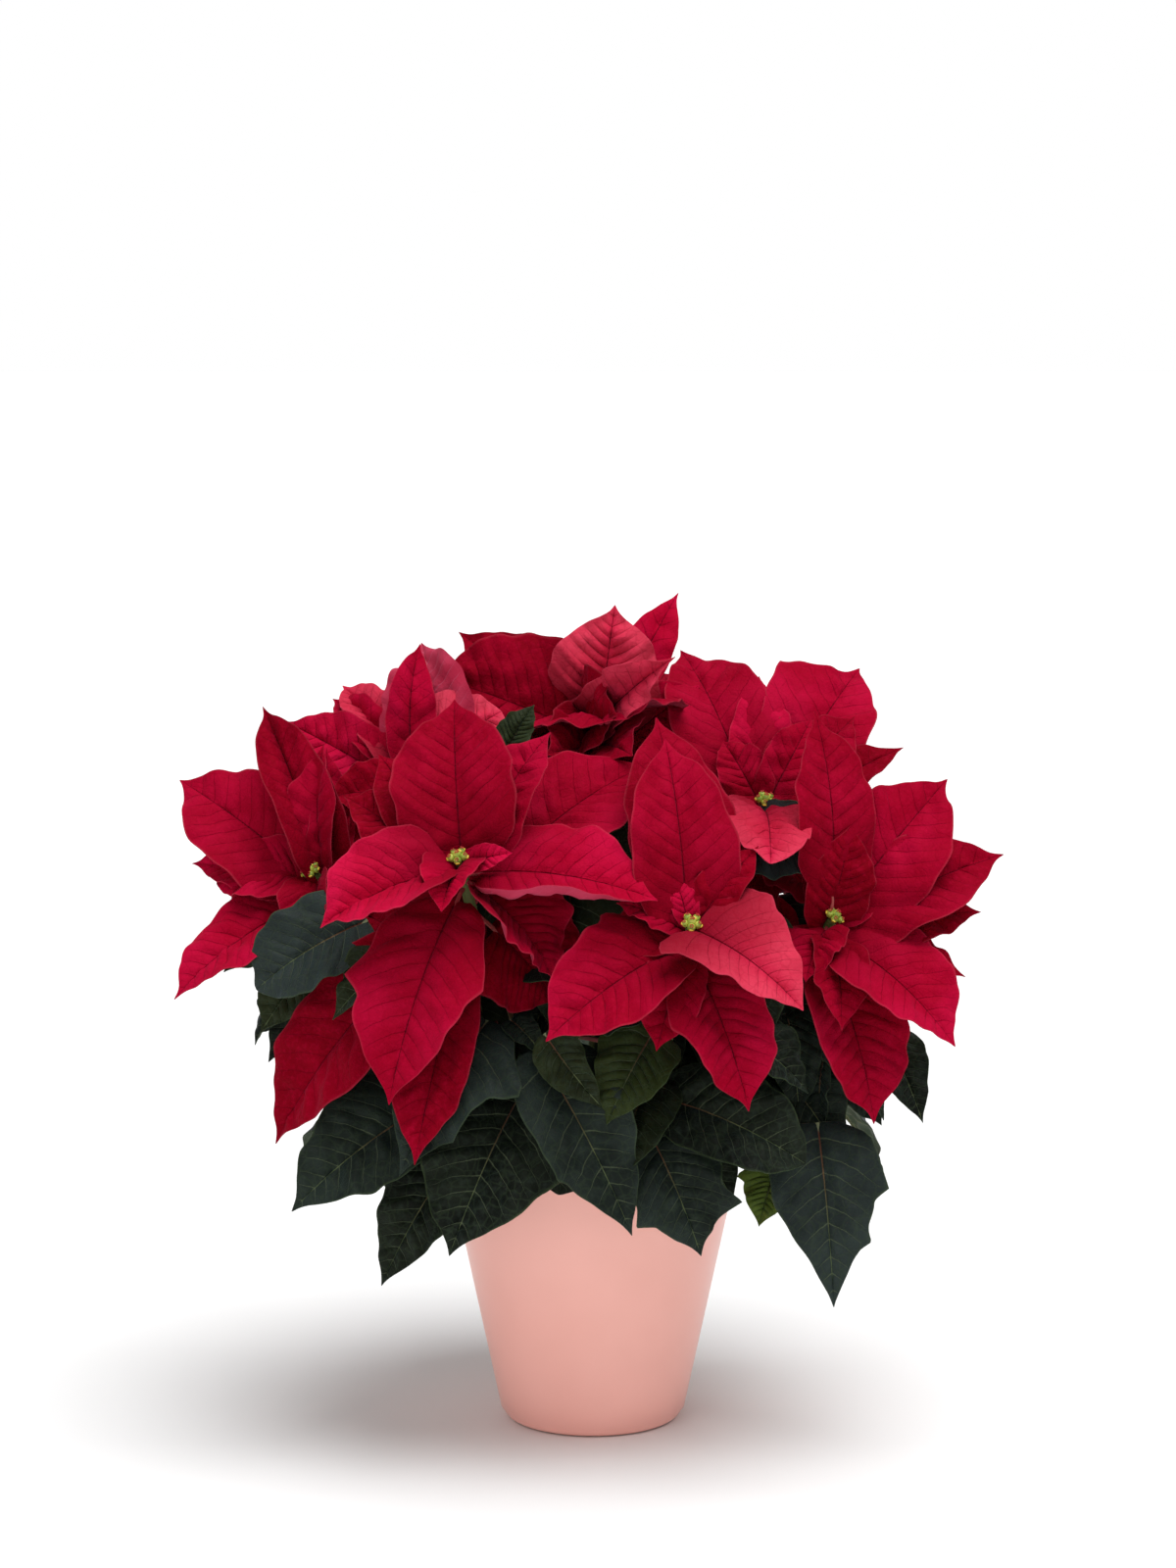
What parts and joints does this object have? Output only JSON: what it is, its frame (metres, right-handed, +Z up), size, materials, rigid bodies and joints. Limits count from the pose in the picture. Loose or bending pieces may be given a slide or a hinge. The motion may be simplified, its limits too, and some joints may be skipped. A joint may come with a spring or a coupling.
{
  "type": "potted poinsettia plant",
  "caption": "Bushy red poinsettia with dark green leaves on a branched stem, growing in soil in a plain tapered pot.",
  "frame": {"origin": "centre of the pot's flat underside", "axes": "+Z up, -Z out of the pot's underside; -Y is the plant's front, as the picture sees it, and +X is to the right"},
  "size_m": [0.4396, 0.3675, 0.4455],
  "materials": {
    "pot": "smooth satin salmon pink glaze",
    "soil": "moist crumbly peat potting mix",
    "stem": "green to brown living stem",
    "bract": "velvety crimson leaf tissue with darker veins",
    "flower": "small waxy yellow-green cups with red tips",
    "leaf": "dark blue-green leaf with pale fine veins"
  },
  "bodies": {
    "root": {"pot": "pot", "soil": "soil", "stem": "stem", "bracts_front_left": "bract", "bracts_left": "bract", "bracts_upper_left": "bract", "bracts_top": "bract", "bracts_front_right": "bract", "bracts_upper_right": "bract", "bracts_right": "bract", "bracts_back_left": "bract", "bracts_back": "bract", "bracts_back_right": "bract", "flower_front_left": "flower", "flower_left": "flower", "flower_upper_left": "flower", "flower_top": "flower", "flower_front_right": "flower", "flower_upper_right": "flower", "flower_right": "flower", "flower_back_left": "flower", "flower_back": "flower", "flower_back_right": "flower", "leaf_01": "leaf", "leaf_02": "leaf", "leaf_03": "leaf", "leaf_04": "leaf", "leaf_05": "leaf", "leaf_06": "leaf", "leaf_07": "leaf", "leaf_08": "leaf", "leaf_09": "leaf", "leaf_10": "leaf", "leaf_11": "leaf", "leaf_12": "leaf", "leaf_13": "leaf", "leaf_14": "leaf", "leaf_15": "leaf", "leaf_16": "leaf", "leaf_17": "leaf", "leaf_18": "leaf", "leaf_19": "leaf", "leaf_20": "leaf", "leaf_21": "leaf", "leaf_22": "leaf", "leaf_23": "leaf", "leaf_24": "leaf", "leaf_25": "leaf", "leaf_26": "leaf", "leaf_27": "leaf", "leaf_28": "leaf", "leaf_29": "leaf", "leaf_30": "leaf", "leaf_31": "leaf", "leaf_32": "leaf", "leaf_33": "leaf", "leaf_34": "leaf", "leaf_35": "leaf", "leaf_36": "leaf"}
  },
  "joints": []
}
